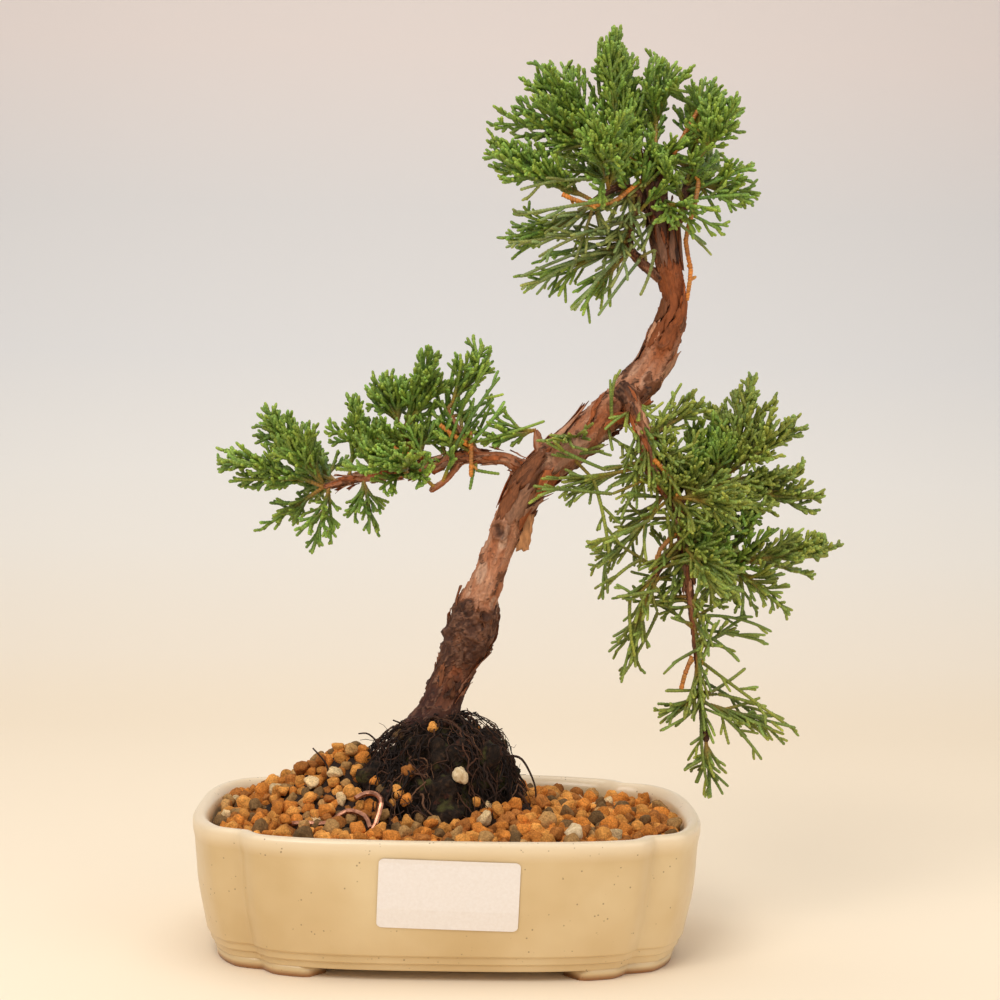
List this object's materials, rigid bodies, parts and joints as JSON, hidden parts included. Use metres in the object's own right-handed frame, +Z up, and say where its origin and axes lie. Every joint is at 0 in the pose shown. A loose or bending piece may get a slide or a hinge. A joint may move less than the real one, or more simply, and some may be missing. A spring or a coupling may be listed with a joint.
{
  "type": "bonsai juniper in a pot",
  "caption": "Potted juniper bonsai: a leaning S-shaped trunk with a crown, a side branch and a hanging branch of scale-leaved shoots, in a lobed glazed pot of clay grains.",
  "frame": {"origin": "bottom centre of the whole tree's bounding box, on the surface that the feet stand on; the pot's centre lies 27 mm towards -X of it", "axes": "+Z up; +X to the right along the pot's long side, towards the hanging branch; +Y to the back, with the sticker facing -Y"},
  "size_m": [0.2486, 0.136, 0.3569],
  "materials": {
    "cream_glaze": "satin cream glaze, warm and speckled, with bare brown clay under the feet",
    "label_paper": "smooth white sticker, blank",
    "fired_clay_grains": "dull orange-brown fired clay grains, 3 to 7 mm",
    "pale_stone": "dull cream stone",
    "dark_roots": "near-black peat, moss and fine roots",
    "juniper_bark": "reddish-brown bark that peels in strips",
    "dead_wood": "dry orange-brown twig",
    "juniper_green": "fine green scale-leaved shoots with paler tips",
    "copper": "dulled copper wire",
    "aluminium_wire": "soft aluminium wire",
    "black_plastic": "black plastic drainage mesh"
  },
  "bodies": {
    "root": {"bark_flake": "juniper_bark", "dead_twig": "dead_wood", "drain_mesh_left": "black_plastic", "drain_mesh_right": "black_plastic", "left_spray_01": "juniper_green", "left_spray_02": "juniper_green", "left_spray_03": "juniper_green", "left_spray_04": "juniper_green", "left_spray_05": "juniper_green", "left_spray_06": "juniper_green", "left_spray_07": "juniper_green", "left_spray_08": "juniper_green", "left_spray_09": "juniper_green", "left_spray_10": "juniper_green", "left_spray_11": "juniper_green", "left_spray_12": "juniper_green", "left_spray_13": "juniper_green", "mesh_clip_left": "aluminium_wire", "mesh_clip_right": "aluminium_wire", "pale_stone_left": "pale_stone", "pale_stone_right": "pale_stone", "pot": "cream_glaze", "pot_label": "label_paper", "right_spray_01": "juniper_green", "right_spray_02": "juniper_green", "right_spray_03": "juniper_green", "right_spray_04": "juniper_green", "right_spray_05": "juniper_green", "right_spray_06": "juniper_green", "right_spray_07": "juniper_green", "right_spray_08": "juniper_green", "right_spray_09": "juniper_green", "right_spray_10": "juniper_green", "right_spray_11": "juniper_green", "right_spray_12": "juniper_green", "right_spray_13": "juniper_green", "right_spray_14": "juniper_green", "root_ball": "dark_roots", "soil_bed": "fired_clay_grains", "tail_spray_01": "juniper_green", "tail_spray_02": "juniper_green", "tail_spray_03": "juniper_green", "tie_wire": "copper", "top_spray_01": "juniper_green", "top_spray_02": "juniper_green", "top_spray_03": "juniper_green", "top_spray_04": "juniper_green", "top_spray_05": "juniper_green", "top_spray_06": "juniper_green", "top_spray_07": "juniper_green", "top_spray_08": "juniper_green", "top_spray_09": "juniper_green", "top_spray_10": "juniper_green", "top_spray_11": "juniper_green", "top_spray_12": "juniper_green", "top_spray_13": "juniper_green", "top_spray_14": "juniper_green", "top_spray_15": "juniper_green", "trunk": "juniper_bark"}
  },
  "joints": []
}
